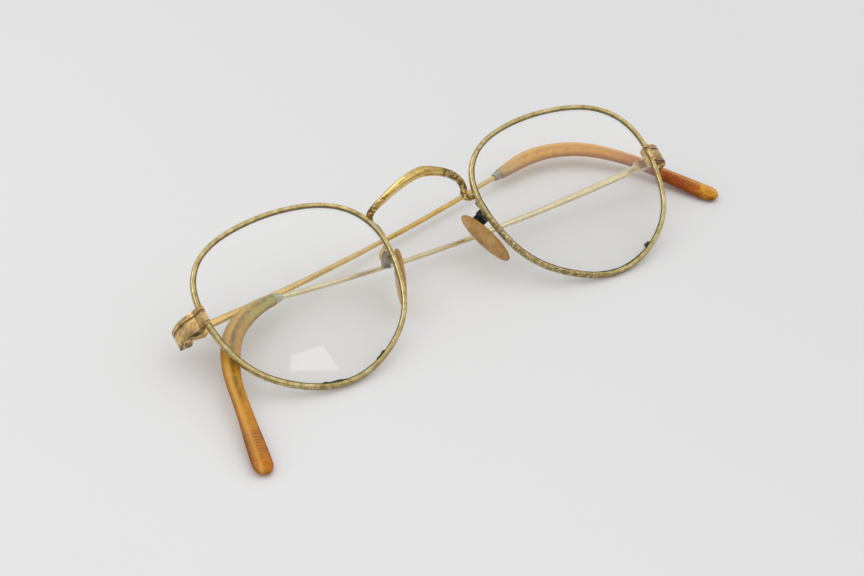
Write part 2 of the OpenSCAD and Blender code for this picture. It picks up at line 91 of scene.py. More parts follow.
# End pieces and hinges
END_Y = {"right": 1.7, "left": 2.65}
END_OUT = {"right": 5.7, "left": 4.75}
END_H = 4.1
END_CAP_H = 1.05
END_GAP = 0.05
END_T = 1.5
TURN_R = 6.0
END_BACK = 7.4
END_FRONT = -0.1
BLOCK_BACK = 3.8
LIP_T = 0.25
LIP_TO = 1.6
SCREW_OUT = 1.9
SCREW_Z = -2.45
SCREW_HEAD_R = 0.85
SCREW_PLAY = 0.07
RECESS_H = 0.65
LOBE_DROP = 0.3
LOBE_BEVEL = 0.2
LOBE_FORWARD = [0.3, 1.6]
FRONT_KNUCKLE_H = 1.3
KNUCKLE_R = 0.95
KNUCKLE_PLAY = 0.1
KNUCKLE_GAP = 0.05
HINGE_BACK = 5.9
HINGE_IN = 0.1

# Temples: length of the bar, radius of its bow, straight length at the end, where the tip
# starts, and how far the temple is folded, raised and rolled, in degrees
TEMPLES = {
    "right": {"bar": 90.3, "bow": 339, "end": 21.1, "mouth": 92.3, "fold": 8.6, "rise": 2.6, "roll": 21.3},
    "left": {"bar": 92.6, "bow": 449, "end": 17.7, "mouth": 87.4, "fold": 13.3, "rise": -7.9, "roll": 23.8},
}
HOOK_R = 18.65
HOOK_ANGLE = math.radians(59.5)
EASE_R = 36.5
EASE_ANGLE = math.radians(18)
BAR_H = 1.65
BAR_T = 1.15
WIRE_D = 1.05
BAR_TAPER = 48
BAR_FROM = 3.6
CORE_LEN = 33
CORE_END_SCALE = 0.55
CORE_PLAY = 0.1
TIP_MOUTH_W = 2.5
TIP_W = 4.0
TIP_WAIST_W = 3.1
TIP_T = 2.1
DOME_LEN = 2.4
GROOVES = 15
GROOVE_PITCH = 0.75
GROOVE_DEPTH = 0.1
TIP_LIP = 0.12

# Nose pads
PAD_AT = np.array([10.7, -2.3, -3.8])
PAD_LEAN = math.radians(21)
PAD_LEN = 13.2
PAD_W = 5.6
PAD_T = 1.5
PAD_BOXY = 2.8
PIN_AT = np.array([PAD_T / 2 + 1.65, 3.5, 0.75])
BOX_BACK = PIN_AT[0] + 1.15
# Where the strap to a pad's box leaves the rim: angle, distance outside the opening, and height
STRAP_ROOT = (math.radians(169), 0.05, -RIM_T / 2 + 0.25)
STRAP_W = 1.5
STRAP_END_W = 1.1
STRAP_T = 0.6

# How the spectacles lie
TILT = math.radians(31.34)
LEFT_DROP = 1.6
LEFT_TWIST = math.radians(3.5)

# The camera, which the panel mirrored in the left lens needs as well
CAMERA_AT = np.array([-178.04, -273.884, 242.109])
CAMERA_AZIMUTH = math.radians(-31.829)
CAMERA_ELEVATION = math.radians(36.634)
CAMERA_ROLL = math.radians(-0.1)
FOCAL_LENGTH = 83.27
SENSOR_WIDTH = 36

# Least angle of a sharp edge, in degrees, on pieces that are cut or softened
CUT_SHARP = 40


def mix(a, b, f):
    """The value that lies the share f of the way from a to b."""
    return a + (b - a) * f


def step(low, high, v):
    """0 below low, 1 above high, smooth between."""
    f = np.clip((v - low) / (high - low), 0, 1)
    return f * f * (3 - 2 * f)


def unit(v):
    """Vectors at length 1."""
    return v / np.linalg.norm(v, axis=-1, keepdims=True)


def turn(points, angle, axis):
    """Points turned about an axis through the origin."""
    return points @ np.array(Matrix.Rotation(angle, 3, axis)).T


def ripple(s, *waves):
    """A slow, uneven wave from 0 to 1 along s, from (wavelength, phase) pairs."""
    total = sum(np.sin(2 * math.pi * s / length + phase) for length, phase in waves)
    return 0.5 + 0.5 * total / len(waves)


def ring_angles(n):
    """Angles of the n points of an oval."""
    return 2 * math.pi * (np.arange(n) + 0.5) / n


def oval(w, h, n, square=1.0):
    """An oval outline of n points; square below 1 makes it boxier. Sizes may be columns."""
    a = ring_angles(n)
    x = np.sign(np.cos(a)) * np.abs(np.cos(a)) ** square
    y = np.sign(np.sin(a)) * np.abs(np.sin(a)) ** square
    return np.stack(np.broadcast_arrays(w / 2 * x, h / 2 * y), -1)


def arc_length(path):
    """Distance of each point of a path from its start, along it."""
    return np.concatenate([[0], np.cumsum(np.linalg.norm(np.diff(path, axis=0), axis=1))])


def rounded_path(points, steps):
    """A smooth curve through a row of points."""
    p = np.vstack([2 * points[0] - points[1], points, 2 * points[-1] - points[-2]])
    t = np.linspace(0, len(points) - 1, steps)
    i = np.minimum(t.astype(int), len(points) - 2)
    f = (t - i)[:, None]
    a, b, c, d = (p[i + k] for k in range(4))
    return 0.5 * (2 * b + (c - a) * f + (2 * a - 5 * b + 4 * c - d) * f ** 2
                  + (3 * b - a - 3 * c + d) * f ** 3)


def bezier(p, f):
    """Points at the shares f of a curve with four control points."""
    f = np.asarray(f)[:, None]
    return ((1 - f) ** 3 * p[0] + 3 * f * (1 - f) ** 2 * p[1]
            + 3 * f ** 2 * (1 - f) * p[2] + f ** 3 * p[3])


def eye_radius(a):
    """Radius of the lens opening at an angle, from the side away from the nose."""
    return (EYE_R + EYE_WIDEN * np.cos(2 * a) + EYE_LEAN * np.sin(2 * a) + EYE_CORNERS * np.sin(3 * a)
            + EYE_SQUARE * np.cos(4 * a) + EYE_FLATS * np.cos(6 * a))


def eye_point(a, grow, z, shrink=1.0):
    """Points of the opening's outline, grown, then shrunk towards its middle, at height z."""
    r = (eye_radius(a) + grow) * shrink
    return np.stack(np.broadcast_arrays(LENS_X + r * np.cos(a), r * np.sin(a), z), -1)


RIM_X = LENS_X + float(eye_radius(0.0))
END_LOW = {s: END_Y[s] - END_H / 2 for s in END_Y}
END_TOP = {s: END_Y[s] + END_H / 2 for s in END_Y}
SPLIT_Y = {s: END_TOP[s] - END_CAP_H for s in END_Y}
OUTER_X = {s: RIM_X + END_OUT[s] for s in END_Y}
WALL_X = {s: OUTER_X[s] - END_T for s in END_Y}
HINGE = {s: np.array([WALL_X[s] - HINGE_IN, END_Y[s], -HINGE_BACK]) for s in END_Y}


def left_point(p):
    """A right-hand point as it lies on the left, dropped and twisted."""
    mirrored = turn(p * [-1, 1, 1], -LEFT_TWIST, "X")
    return mirrored - [0, LEFT_DROP, 0]


hinge_joint = next(j for j in frame["joints"] if j["name"] == "right_temple_hinge")
ON_TABLE = np.array(hinge_joint["pos_m"]) / MM - turn(HINGE["right"], TILT, "X")


def place(points, side="right"):
    """Upright points where the resting spectacles have them."""
    points = np.asarray(points, float)
    if side == "left":
        points = left_point(points)
    return turn(points, TILT, "X") + ON_TABLE


def make_mesh(name, points, faces, marks=None, sharp=35):
    """A smooth-shaded object from points in millimetres, with marks kept as attributes."""
    mesh = bpy.data.meshes.new(name)
    mesh.from_pydata((np.asarray(points) * MM).tolist(), [], faces)
    for key, values in (marks or {}).items():
        layer = mesh.attributes.new(key, "FLOAT", "POINT")
        layer.data.foreach_set("value", np.asarray(values, np.float32).ravel())
    shape = bmesh.new()
    shape.from_mesh(mesh)
    bmesh.ops.recalc_face_normals(shape, faces=shape.faces)
    shape.to_mesh(mesh)
    shape.free()
    mesh.shade_smooth()
    mesh.set_sharp_from_angle(angle=math.radians(sharp))
    piece = bpy.data.objects.new(name, mesh)
    bpy.context.scene.collection.objects.link(piece)
    return piece


def skin(name, rings, marks=None, sharp=35):
    """A closed skin over a row of rings, with a middle point in each end."""
    count, n, _ = rings.shape
    first = count * n
    here = np.arange(n)
    after = (here + 1) % n
    faces = []
    for k in range(count - 1):
        low, high = k * n, (k + 1) * n
        faces += np.stack([low + here, low + after, high + after, high + here], -1).tolist()
    faces += np.stack([np.full(n, first), after, here], -1).tolist()
    last = first - n
    faces += np.stack([np.full(n, first + 1), last + here, last + after], -1).tolist()
    ends = np.stack([rings[0].mean(0), rings[-1].mean(0)])
    points = np.concatenate([rings.reshape(-1, 3), ends])
    full = {}
    for key, values in (marks or {}).items():
        grid = np.broadcast_to(values, (count, n))
        full[key] = np.concatenate([grid.ravel(), [grid[0].mean(), grid[-1].mean()]])
    return make_mesh(name, points, faces, full, sharp)


def put(piece, body, slot, material, *replaced):
    """Finishes a piece: its material, its body and the solids that it stands for. Its slot is not used."""
    piece.data.materials.clear()
    piece.data.materials.append(material)
    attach(piece, body)
    if replaced:
        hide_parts(*replaced)


# Materials

# Sockets of a Mix node that mixes colours
COLOUR_A = 6
COLOUR_B = 7
COLOUR_OUT = 2


def srgb(code):
    """A hex colour as linear RGBA."""
    parts = [int(code[i:i + 2], 16) / 255 for i in (1, 3, 5)]
    return [c / 12.92 if c <= 0.04045 else ((c + 0.055) / 1.055) ** 2.4 for c in parts] + [1]


class Finish:
    """A material on a Principled shader, built from small node steps."""

    def __init__(self, name):
        self.material = bpy.data.materials.new(name)
        self.material.use_nodes = True
        self.tree = self.material.node_tree
        self.shader = self.tree.nodes["Principled BSDF"]
        self.output = self.tree.nodes["Material Output"]
        self.place = self.add("ShaderNodeTexCoord").outputs["Object"]

    def add(self, kind, **settings):
        node = self.tree.nodes.new(kind)
        for key, value in settings.items():
            setattr(node, key, value)
        return node

    def link(self, source, socket):
        """Feeds a socket from another one, or sets it to a plain value."""
        if isinstance(source, bpy.types.NodeSocket):
            self.tree.links.new(source, socket)
        else:
            socket.default_value = source

    def noise(self, size_mm, detail=4, rough=0.6):
        """Noise on the piece, from 0 to 1."""
        node = self.add("ShaderNodeTexNoise")
        node.inputs["Scale"].default_value = 1 / (size_mm * MM)
        node.inputs["Detail"].default_value = detail
        node.inputs["Roughness"].default_value = rough
        self.link(self.place, node.inputs["Vector"])
        return node.outputs["Fac"]

    def mark(self, name):
        """A mark that the mesh carries, or 0 where it carries none."""
        return self.add("ShaderNodeAttribute", attribute_name=name).outputs["Fac"]

    def between(self, value, low, high, to_low=0.0, to_high=1.0):
        """A value taken smoothly from one range to another, and held at its ends."""
        node = self.add("ShaderNodeMapRange", interpolation_type="SMOOTHSTEP")
        self.link(value, node.inputs["Value"])
        limits = {"From Min": low, "From Max": high, "To Min": to_low, "To Max": to_high}
        for socket, number in limits.items():
            node.inputs[socket].default_value = number
        return node.outputs["Result"]

    def maths(self, operation, a, b):
        node = self.add("ShaderNodeMath", operation=operation)
        self.link(a, node.inputs[0])
        self.link(b, node.inputs[1])
        return node.outputs[0]

    def blend(self, factor, a, b, mode="MIX"):
        node = self.add("ShaderNodeMix", data_type="RGBA", blend_type=mode)
        self.link(factor, node.inputs["Factor"])
        self.link(a, node.inputs[COLOUR_A])
        self.link(b, node.inputs[COLOUR_B])
        return node.outputs[COLOUR_OUT]

    def ramp(self, value, *stops):
        node = self.add("ShaderNodeValToRGB")
        bands = node.color_ramp.elements
        while len(bands) < len(stops):
            bands.new(0.5)
        for band, (at, code) in zip(bands, stops):
            band.position = at
            band.color = srgb(code)
        self.link(value, node.inputs["Fac"])
        return node.outputs["Color"]

    def bump(self, height, strength, distance_mm):
        node = self.add("ShaderNodeBump")
        node.inputs["Strength"].default_value = strength
        node.inputs["Distance"].default_value = distance_mm * MM
        self.link(height, node.inputs["Height"])
        self.link(node.outputs["Normal"], self.shader.inputs["Normal"])

    def set(self, **values):
        """Feeds the shader's own sockets, named with underscores for spaces."""
        for key, value in values.items():
            self.link(value, self.shader.inputs[key.replace("_", " ")])


def worn_gold(name, low, middle, high, tarnish, tarnish_from=0.62, rough=0.26,
              cut=False, grain_mm=1.3, dented=0.35):
    """Gold-filled metal: uneven tone, brown tarnish in patches and cuts, dirt and painted shade from the
    pieces' marks, and fine scratches.
    """
    f = Finish(name)
    tone = f.ramp(f.noise(grain_mm, 5), (0.3, low), (0.5, middle), (0.72, high))
    spots = f.between(f.noise(1.1, 6, 0.7), tarnish_from, tarnish_from + 0.1)
    patches = f.between(f.noise(7, 2), 0.47, 0.62)
    stain_and_shade = f.maths("MULTIPLY", spots, patches)
    if cut:
        grime = f.between(f.noise(0.9, 4), 0.3, 0.6, 0.45, 0.95)
        stain_and_shade = f.maths("MAXIMUM", stain_and_shade, f.maths("MULTIPLY", f.mark("cut"), grime))
    # The dirt mark is dirt on some pieces and painted shade on others (the end blocks' lower edges, the
    # rims' inner walls)
    stain_and_shade = f.maths("MAXIMUM", stain_and_shade, f.mark("dirt"))
    lumps = f.between(f.noise(0.75, 5, 0.65), 0.43, 0.56, 0.0, 0.9)
    # The patchy mark is chipped gold and tarnish, and on the bridge's left leg a band of painted shade
    stain_and_shade = f.maths("MAXIMUM", stain_and_shade, f.maths("MULTIPLY", f.mark("patchy"), lumps))
    f.set(
        Base_Color=f.blend(stain_and_shade, tone, srgb(tarnish)),
        Metallic=f.between(stain_and_shade, 0, 1, 1.0, 0.3),
        Roughness=f.maths("ADD", f.between(f.noise(1.7, 4), 0.3, 0.7, rough - 0.08, rough + 0.12),
                          f.maths("MULTIPLY", stain_and_shade, 0.3)),
    )
    scratches = f.noise(0.12, 3, 0.7)
    dents = f.noise(0.9, 3)
    f.bump(f.maths("ADD", f.maths("MULTIPLY", scratches, 0.35), dents), dented, 0.05)
    return f.material


def plain_metal(name, dark, light, rough, metallic=1.0):
    """Small steel and soldered parts: mottled, half dull."""
    f = Finish(name)
    tone = f.ramp(f.noise(0.8, 5), (0.35, dark), (0.68, light))
    f.set(Base_Color=tone, Roughness=f.between(f.noise(0.5, 3), 0.3, 0.7, rough - 0.1, rough + 0.15))
    f.shader.inputs["Metallic"].default_value = metallic
    f.bump(f.noise(0.25, 4), 0.4, 0.04)
    return f.material


def celluloid(name, stops, core_tone, core_share):
    """Amber celluloid: coloured along its length, streaked, with the wire core showing through, a painted
    glow along one side and painted shade at its edges.
    """
    f = Finish(name)
    cloud = f.noise(2.4, 4)
    along = f.maths("ADD", f.mark("along"), f.between(cloud, 0.3, 0.7, -0.045, 0.045))
    body = f.ramp(along, *stops)
    streaks = f.between(f.noise(1.0, 4, 0.6), 0.4, 0.7, 0.0, 0.3)
    body = f.blend(streaks, body, srgb("#a8641c"), "MULTIPLY")
    core = f.maths("MULTIPLY", f.mark("core"), f.between(f.noise(1.6, 3), 0.3, 0.6, 0.15, core_share))
    body = f.blend(core, body, srgb(core_tone))
    # Painted light: a paler glow along one side and in the grooves
    body = f.blend(f.maths("MULTIPLY", f.mark("glow"), 0.6), body, srgb("#eab45c"))
    # Painted shade: darker towards the edges
    body = f.blend(f.maths("MULTIPLY", f.mark("edge"), 0.6), body, srgb("#7a3c12"))
    f.set(Base_Color=body, Roughness=f.between(f.noise(0.7, 4), 0.3, 0.7, 0.16, 0.3))
    f.shader.inputs["Specular IOR Level"].default_value = 0.16
    f.shader.inputs["Coat Weight"].default_value = 0.04
    f.shader.inputs["Coat Roughness"].default_value = 0.08
    f.bump(f.noise(0.5, 4), 0.16, 0.05)
    return f.material


def pad_celluloid():
    """The nose pads: tan, slightly cloudy and rubbed smooth, with painted shade round their edges."""
    f = Finish("nose_pad_tan")
    tone = f.ramp(f.noise(3.2, 4), (0.3, "#a8793f"), (0.5, "#c4985a"), (0.72, "#d8b47c"))
    # Painted shade: darker towards the pad's rim
    rim = f.maths("MULTIPLY", f.mark("edge"), 0.5)
    f.set(Base_Color=f.blend(rim, tone, srgb("#a8732f")),
          Roughness=f.between(f.noise(0.8, 3), 0.3, 0.7, 0.25, 0.4))
    f.shader.inputs["Specular IOR Level"].default_value = 0.25
    f.shader.inputs["Coat Weight"].default_value = 0.06
    f.shader.inputs["Coat Roughness"].default_value = 0.2
    f.bump(f.noise(0.4, 3), 0.12, 0.04)
    return f.material


def lens_glass():
    """Clear glass that lets light through to the table, with faint smears."""
    f = Finish("lens_glass")
    f.shader.inputs["Base Color"].default_value = (0.995, 0.995, 0.985, 1)
    f.shader.inputs["Transmission Weight"].default_value = 1.0
    f.shader.inputs["IOR"].default_value = 1.52
    f.set(Roughness=f.between(f.noise(4, 5, 0.7), 0.5, 0.8, 0.0, 0.04))
    clear = f.add("ShaderNodeBsdfTransparent")
    clear.inputs["Color"].default_value = (0.995, 0.995, 0.99, 1)
    passes = f.add("ShaderNodeLightPath").outputs["Is Shadow Ray"]
    both = f.add("ShaderNodeMixShader")
    f.link(passes, both.inputs[0])
    f.link(f.shader.outputs[0], both.inputs[1])
    f.link(clear.outputs[0], both.inputs[2])
    f.link(both.outputs[0], f.output.inputs["Surface"])
    return f.material


def grime():
    """Verdigris and dirt packed between a rim and its lens."""
    f = Finish("rim_grime")
    f.set(Base_Color=f.ramp(f.noise(0.5, 5), (0.35, "#15180e"), (0.5, "#2f3a22"), (0.68, "#5d6a4a")))
    f.shader.inputs["Roughness"].default_value = 0.85
    f.bump(f.noise(0.18, 5), 0.8, 0.1)
    return f.material


def bevel_shade():
    """The ground edge of a lens: dull, painted brown as shade and as the dirt behind it."""
    f = Finish("lens_bevel_shade")
    f.set(Base_Color=f.ramp(f.noise(0.7, 4), (0.35, "#7d6a38"), (0.65, "#b09a62")))
    f.shader.inputs["Roughness"].default_value = 0.6
    return f.material


GOLD = worn_gold("rim_gold", "#a39158", "#cbb67c", "#e6d7a6", "#4a3815", cut=True, rough=0.22)
BLOCK_GOLD = worn_gold("end_piece_gold", "#b48c50", "#deb877", "#f6dba6", "#33200c", cut=True)
BRIDGE_GOLD = worn_gold("bridge_gold", "#cba656", "#dfbd72", "#f0d695", "#4a2f12", 0.75,
                        rough=0.15, dented=0.1)
WIRE_GOLD = {
    "right": worn_gold("right_wire_gold", "#cfbf92", "#d8caa2", "#e0d3ae", "#9a8a5c", 0.76,
                       rough=0.26, grain_mm=4, dented=0.1),
    "left": worn_gold("left_wire_gold", "#cda85a", "#d8b56a", "#e2c27c", "#8a6430", 0.72,
                      rough=0.24, grain_mm=4, dented=0.1),
}
STEEL = plain_metal("hinge_steel", "#54432a", "#94805a", 0.4)
MOUNT = {
    "right": plain_metal("right_mount_dark", "#1b2424", "#46504d", 0.4, 0.5),
    "left": plain_metal("left_mount_grey", "#75654c", "#ab977a", 0.5, 0.4),
}
STRAP = {"right": MOUNT["right"], "left": WIRE_GOLD["left"]}
FERRULE = {
    "right": plain_metal("right_ferrule_pale", "#9aa085", "#cbcfb2", 0.4, 0.8),
    "left": plain_metal("left_ferrule_grey", "#7b7a68", "#b3b09a", 0.35, 0.9),
}
AMBER = {
    "right": celluloid("right_celluloid", (
        (0.0, "#b9b266"), (0.14, "#bdaa52"), (0.28, "#cc9c40"), (0.5, "#d09424"), (0.72, "#cc8a20"),
        (0.84, "#a8682c"), (0.93, "#c0721a"), (1.0, "#cc8220")), "#565020", 0.75),
    "left": celluloid("left_celluloid", (
        (0.0, "#d2ab6c"), (0.2, "#e2a63e"), (0.5, "#df9a2c"), (0.64, "#b96826"), (0.82, "#9c470c"),
        (0.91, "#b5640f"), (0.965, "#e0a22a"), (1.0, "#96641c")), "#b98848", 0.7),
}
PAD_TAN = pad_celluloid()
GLASS = lens_glass()
GRIME = grime()
BEVEL = bevel_shade()


# Rims

RIM_RINGS = 1400
# Angle near both splits, where the rim's radius is taken to place them
SPLIT_NEAR = math.radians(9)
# Stretch of each rim, by angle, where the gold is chipped, and how much of it
CHIPPED = {
    "right": (math.radians(178), math.radians(262), 0.85),
    "left": (math.radians(215), math.radians(300), 0.35),
}
CHIPPED_EASE = math.radians(12)
# Stretches of dirt along each rim: from and to, in degrees, and how thick
DIRT = {
    "left": ((270, 289, 0.3), (241, 251, 0.3), (200, 241, 0.12), (251, 268, 0.1), (289, 318, 0.1)),
    "right": ((158, 182, 0.16), (200, 250, 0.12), (250, 300, 0.2), (294, 300.5, 0.62),
              (300, 340, 0.14)),
}
DIRT_SEED = {"left": 3, "right": 5}
DIRT_STEPS = 720
DIRT_THINNEST = 0.015
# Where the bead of dirt lies, outwards and forwards from the middle of the rim wire
DIRT_OUT = -0.46
DIRT_FRONT = 0.49


def rim_section():
    """Outline of the rim wire, outwards and forwards, with soft lips and the lens groove."""
    a = np.radians(np.linspace(90, -90, 25))
    outer = np.stack([RIM_W / 2 * np.cos(a) ** 0.8, RIM_T / 2 * np.sign(a) * np.abs(np.sin(a)) ** 0.92], -1)
    lip = [(-0.27, 0.665), (-0.43, 0.56), (-0.5, GROOVE_W / 2), (-0.3, 0.27), (GROOVE_X - 0.02, 0.03)]
    back = [(x, -z) for x, z in lip]
    return np.vstack([outer, back, lip[::-1]])


def milling(s, front):
    """Depth from 0 to 1 of a row of milled notches between two border lines."""
    wear = step(0.22, 0.62, ripple(s, (23, 0.4), (9.1, 2.0), (37, 4.1)))
    band = step(MILL_HALF_H, MILL_HALF_H - 0.12, np.abs(front))
    notches = step(0.1, 0.9, np.cos(2 * math.pi * s / MILL_PITCH)) * band
    lines = step(0.09, 0.02, np.abs(np.abs(front) - MILL_HALF_H - 0.08))
    return np.maximum(notches * mix(0.25, 1, wear), lines * 0.8)


def rim(side):
    """The eye wire, from one side of its split round to the other."""
    split = math.asin((SPLIT_Y[side] - END_GAP / 2) / float(eye_radius(SPLIT_NEAR)))
    half_gap = math.asin(END_GAP / 2 / EYE_R)
    a = (split + np.linspace(half_gap, 2 * math.pi - half_gap, RIM_RINGS))[:, None]
    section = rim_section()
    out, front = section[:, 0], section[:, 1]
    s = arc_length(eye_point(a[:, 0], 0, 0))[:, None]
    cut = milling(s, front) * step(0.1, 0.3, out)
    # Dirt and painted shade: the rim's inner wall beside the lens is darkened
    dirt = 0.4 * step(0.66, 0.5, front) * (out < -0.25) * np.ones_like(s)
    start, end, share = CHIPPED[side]
    chipped = share * step(start - CHIPPED_EASE, start + CHIPPED_EASE, a)
    chipped = chipped * step(end + CHIPPED_EASE, end - CHIPPED_EASE, a)
    patchy = chipped * step(-0.3, 0.1, out) * step(-0.3, 0.1, front)
    rings = eye_point(a, out - MILL_DEPTH * cut, front)
    piece = skin(f"{side}_rim_milled", place(rings, side), {"cut": cut, "dirt": dirt, "patchy": patchy})
    put(piece, "frame", "gold_filled", GOLD, f"{side}_rim")


def grime_bead(side):
    """A lumpy bead of dirt on the lens, along the front lip of the rim."""
    a = np.radians(np.linspace(0, 360, DIRT_STEPS + 1))[:-1]
    thick = np.zeros_like(a)
    for start, end, size in DIRT[side]:
        middle = math.radians((start + end) / 2)
        half = math.radians((end - start) / 2)
        away = np.abs((a - middle + math.pi) % (2 * math.pi) - math.pi)
        thick = np.maximum(thick, size * step(half, half * 0.55, away))
    rng = np.random.default_rng(DIRT_SEED[side])
    rough = np.tile(rng.uniform(0.35, 1.25, len(a)), 3)
    lumps = np.convolve(rough, np.ones(5) / 5, "same")[len(a):2 * len(a)]
    r = np.maximum(thick * lumps, DIRT_THINNEST)[:, None]
    b = np.radians(np.arange(0, 360, 45))
    out = DIRT_OUT - r * (0.6 - 0.9 * np.cos(b))
    z = DIRT_FRONT + r * 0.4 * np.sin(b)
    rings = eye_point(a[:, None], np.minimum(out, DIRT_OUT + 0.02), z)
    count, n = out.shape
    k, j = np.meshgrid(np.arange(count), np.arange(n), indexing="ij")
    here = k * n
    after = (k + 1) % count * n
    beside = (j + 1) % n
    faces = np.stack([here + j, here + beside, after + beside, after + j], -1).reshape(-1, 4).tolist()
    piece = make_mesh(f"{side}_rim_grime", place(rings, side).reshape(-1, 3), faces)
    put(piece, "frame", "gold_filled", GRIME)


# Lenses

def lens(side):
    """A curved lens of even thickness, with a bevelled edge that sits in the rim's groove."""
    a = np.radians(np.arange(0, 360, 2))
    edge = GROOVE_X - LENS_PLAY
    shoulder = edge - LENS_T * (RIM_W / 2 + GROOVE_X) / GROOVE_W
    shares = np.linspace(0.05, 1, 18)
    rise = np.sqrt(LENS_CURVE_R ** 2 - (shares * EYE_R) ** 2) - math.sqrt(LENS_CURVE_R ** 2 - EYE_R ** 2)
    back = [eye_point(a, shoulder, z - LENS_T / 2, f) for f, z in zip(shares, rise)]
    front = [eye_point(a, shoulder, z + LENS_T / 2, f) for f, z in zip(shares, rise)]
    rings = np.stack(back + [eye_point(a, edge, 0.0)] + front[::-1])
    piece = skin(f"{side}_lens_glass", place(rings, side), sharp=20)
    put(piece, "frame", "lens", GLASS, f"{side}_lens")
    # The bevelled edge gets the brown finish of painted shade
    piece.data.materials.append(BEVEL)
    bevel_from = len(back) - 1
    for k in range(bevel_from * len(a), (bevel_from + 2) * len(a)):
        piece.data.polygons[k].material_index = 1


# Bridge

def half_bridge(leg):
    """One side of the bridge: a stub from the rim to its foot, then the leg up to the crest."""
    foot, bend, pull = np.array(leg[0]), np.array(leg[1]), leg[2]
    joint = eye_point(*STUB_ROOT)
    stub = mix(joint, foot, 0.55) + [-0.1, -0.25, -0.2]
    curve = bezier([foot, bend, np.array([pull, CREST[1], CREST[2]]), CREST], np.linspace(0, 1, 15))
    return np.vstack([joint, stub, curve])


def settled(p):
    """The left leg's points: the foot follows the bent rim, the crest stays where it is."""
    f = np.clip(1 - p[:, :1] / LEFT_LEG[0][0], 0, 1)
    return mix(left_point(p), p * [-1, 1, 1], f * f * (3 - 2 * f))


# Way that the painted band of shade on the left leg faces, before the spectacles are laid down
SHADE_BAND_WAY = np.array([-0.44, -0.29, 0.85])
# Angles round the wire where a fine flute runs along it
FLUTES = (0.75, 1.45, 2.2, 3.0, 5.9)


def bridge():
    """The arched wire, thin at its stubs and thick at the crest, with its stains and a band of painted
    shade on the left leg.
    """
    path = np.vstack([half_bridge(RIGHT_LEG), settled(half_bridge(LEFT_LEG))[-2::-1]])
    path = rounded_path(path, 260)
    along = unit(np.gradient(path, axis=0))
    side = unit(np.cross([0, 1, 0.35], along))
    up = np.cross(along, side)
    share = np.clip(1 - np.abs(path[:, 0]) / RIGHT_LEG[0][0], 0, 1)
    s = arc_length(path)
    ends = np.minimum(s, s[-1] - s)
    w = mix(STUB_W, mix(BRIDGE_FOOT_W, BRIDGE_W, share), step(0, STUB_LEN, ends))[:, None]
    n = 40
    outline = oval(w, w, n, 0.9)
    flute = sum(step(0.16, 0.05, np.abs(ring_angles(n) - at)) for at in FLUTES)
    outline = outline * (1 - 0.04 * flute * share[:, None])[..., None]
    rings = path[:, None] + outline[..., :1] * side[:, None] + outline[..., 1:] * up[:, None]
    # The right leg is stained all round and the left one at its foot; along the left leg runs a band of
    # painted shade
    right_stain = step(4.4, 5.4, path[:, 0])
    # Painted shade: a dark band down the middle of the left leg's front, across the wire as it faces the
    # way set above
    over = unit(np.cross(along, SHADE_BAND_WAY))
    across = ((rings - path[:, None]) * over[:, None]).sum(-1) / (w / 2)
    left_shade_band = step(0.62, 0.3, np.abs(across)) * step(-6.6, -8.2, path[:, :1])
    left_foot = step(-9.4, -10.4, path[:, :1]) * np.ones_like(across)
    patchy = np.maximum(right_stain[:, None], np.maximum(left_shade_band, left_foot))
    lines = 0.35 * flute * step(0.3, 0.9, share)[:, None]
    piece = skin("bridge_wire", place(rings), {"dirt": lines, "patchy": patchy})
    put(piece, "frame", "gold_filled", BRIDGE_GOLD, "bridge")


# End pieces

END_STATIONS = 260
END_ROUND = 0.16
END_MILL_PITCH = 0.36
END_MILL_DEPTH = 0.05


def end_plan(side):
    """An end piece in plan, from the rim to the back of its side wall: the distance along it,
    its outer edge and its inner edge."""
    inboard = RIM_X - RIM_W / 2
    middle = OUTER_X[side] - TURN_R
    turn_z = END_FRONT - TURN_R
    a = np.linspace(math.acos((inboard - middle) / TURN_R), 0, 240)
    arc = np.stack([middle + TURN_R * np.cos(a), turn_z + TURN_R * np.sin(a)], -1)
    arc[:, 1] = mix(arc[:, 1], RIM_T / 2 + LIP_T, step(RIM_X + LIP_TO, RIM_X + 0.3, arc[:, 0]))
    outer = np.vstack([arc, [OUTER_X[side], -END_BACK]])
    s = arc_length(outer)
    even = np.linspace(0, s[-1], END_STATIONS)
    outer = np.stack([np.interp(even, s, outer[:, k]) for k in (0, 1)], -1)
    floor_z = mix(RIM_T / 2 - 0.1, -BLOCK_BACK, step(RIM_X + 0.1, RIM_X + 0.5, outer[:, 0]))
    inner = np.stack([np.minimum(outer[:, 0], WALL_X[side]), np.minimum(outer[:, 1] - 0.1, floor_z)], -1)
    return even, outer, inner


def end_strap(name, side, low, high, mill):
    """A strap that turns from the front to the side, with rounded edges and a milled outer face."""
    s, outer, inner = end_plan(side)
    corner = np.radians(np.linspace(90, 0, 5))
    rise = END_ROUND * np.sin(corner)
    drawn_in = END_ROUND * (1 - np.cos(corner))
    face = np.linspace(high - END_ROUND, low + END_ROUND, 36)
    heights = np.concatenate([high - END_ROUND + rise[:-1], face, low + END_ROUND - rise[::-1][1:]])
    inset = np.concatenate([drawn_in[:-1], np.zeros(len(face)), drawn_in[::-1][1:]])
    inward = unit(inner - outer)
    depth, dirt = mill(s[:, None], heights[None, :])
    end_round = 0.12 * step(0.25, 0, s[-1] - s)[:, None]
    shift = inset[None, :] + depth * END_MILL_DEPTH + end_round
    front = outer[:, None] + inward[:, None] * shift[..., None]
    rings_out = np.stack([front[..., 0], np.broadcast_to(heights, depth.shape), front[..., 1]], -1)
    back_h = np.array([low + 0.03, mix(low, high, 0.5), high - 0.03])
    rings_in = np.stack(np.broadcast_arrays(inner[:, :1], back_h, inner[:, 1:]), -1)
    rings = np.concatenate([rings_out, rings_in], 1)
    plain = np.zeros(rings_in.shape[:2])
    marks = {"cut": np.concatenate([depth, plain], 1), "dirt": np.concatenate([dirt, plain], 1)}
    return skin(name, rings, marks, CUT_SHARP)


